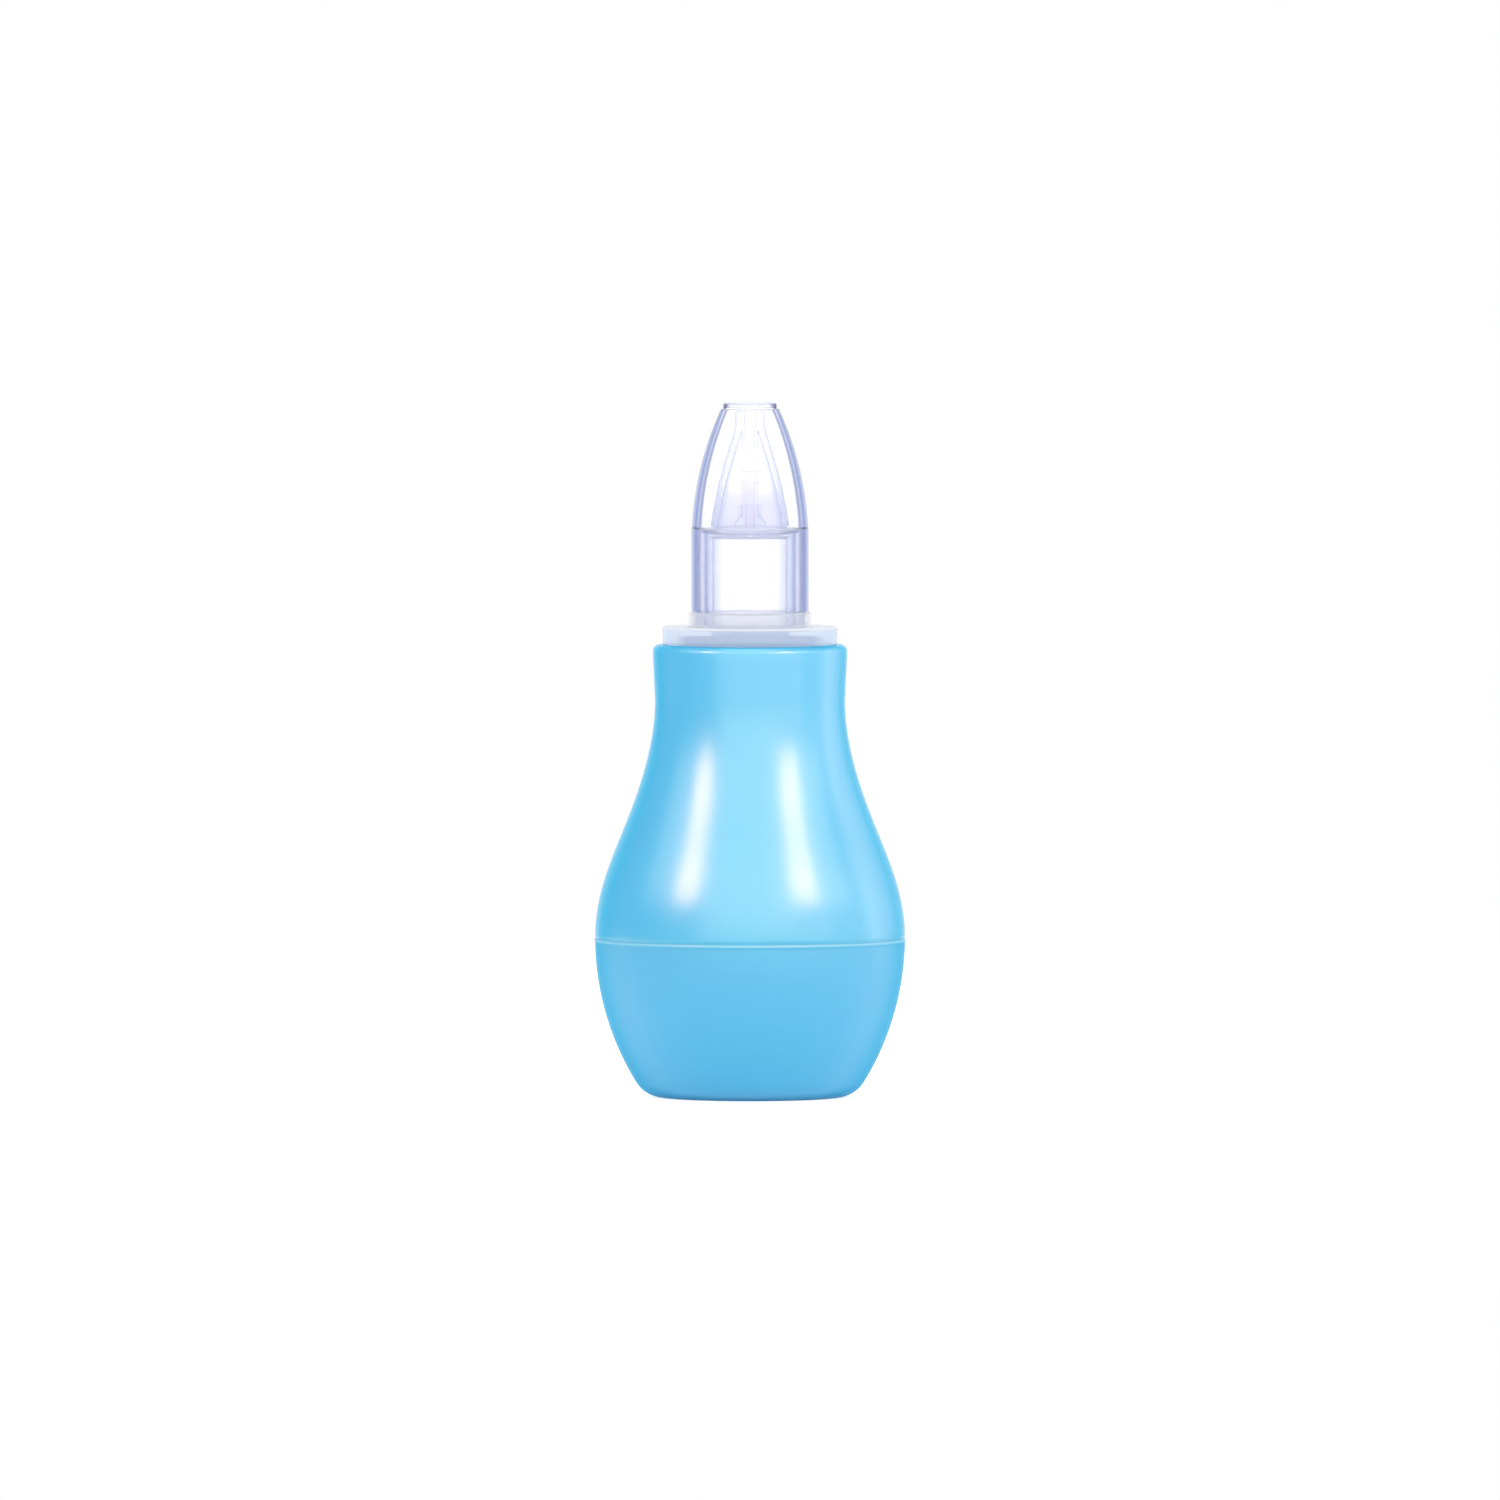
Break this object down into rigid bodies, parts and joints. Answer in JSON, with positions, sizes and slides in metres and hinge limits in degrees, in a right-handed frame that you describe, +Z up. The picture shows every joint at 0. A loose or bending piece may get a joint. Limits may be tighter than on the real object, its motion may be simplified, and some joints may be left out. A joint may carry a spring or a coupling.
{
  "type": "nasal aspirator",
  "caption": "Squeeze-bulb nasal aspirator: soft blue bulb with a flat foot, clear collar, translucent nozzle over a standing backflow tube, and a clear bullet-shaped dust cap.",
  "frame": {"origin": "centre of the flat foot that the bulb stands on", "axes": "+Z up the common axis to the nozzle's tip; the part is round, and the backflow tube's two air windows face +X and -X"},
  "size_m": [0.038, 0.038, 0.085],
  "materials": {
    "bulb_gloss": "glossy soft moulded rubber",
    "bulb_satin": "satin soft moulded rubber",
    "clear_cap": "clear polished plastic with a faint lilac tint",
    "clear_collar": "clear polished plastic with a faint lilac tint",
    "milky_nozzle": "translucent milky plastic"
  },
  "bodies": {
    "bulb_base": {"bulb_lower": "bulb_satin"},
    "bulb_neck": {"bulb_upper": "bulb_gloss"},
    "collar": {"collar": "clear_collar", "backflow_tube": "clear_collar"},
    "nozzle": {"nozzle": "milky_nozzle"},
    "dust_cap": {"dust_cap": "clear_cap"}
  },
  "joints": [
    {"name": "bulb_press", "type": "slide", "parent": "bulb_base", "child": "bulb_neck", "axis": [0, 0, -1], "range_m": [0, 0.012], "stiffness_N_per_m": 700, "deforming": ["bulb_upper"]},
    {"name": "collar_pull", "type": "slide", "parent": "bulb_neck", "child": "collar", "axis": [0, 0, 1], "range_m": [0, 0.015]},
    {"name": "nozzle_pull", "type": "slide", "parent": "collar", "child": "nozzle", "axis": [0, 0, 1], "range_m": [0, 0.025]},
    {"name": "cap_pull", "type": "slide", "parent": "nozzle", "child": "dust_cap", "axis": [0, 0, 1], "range_m": [0, 0.03]}
  ]
}
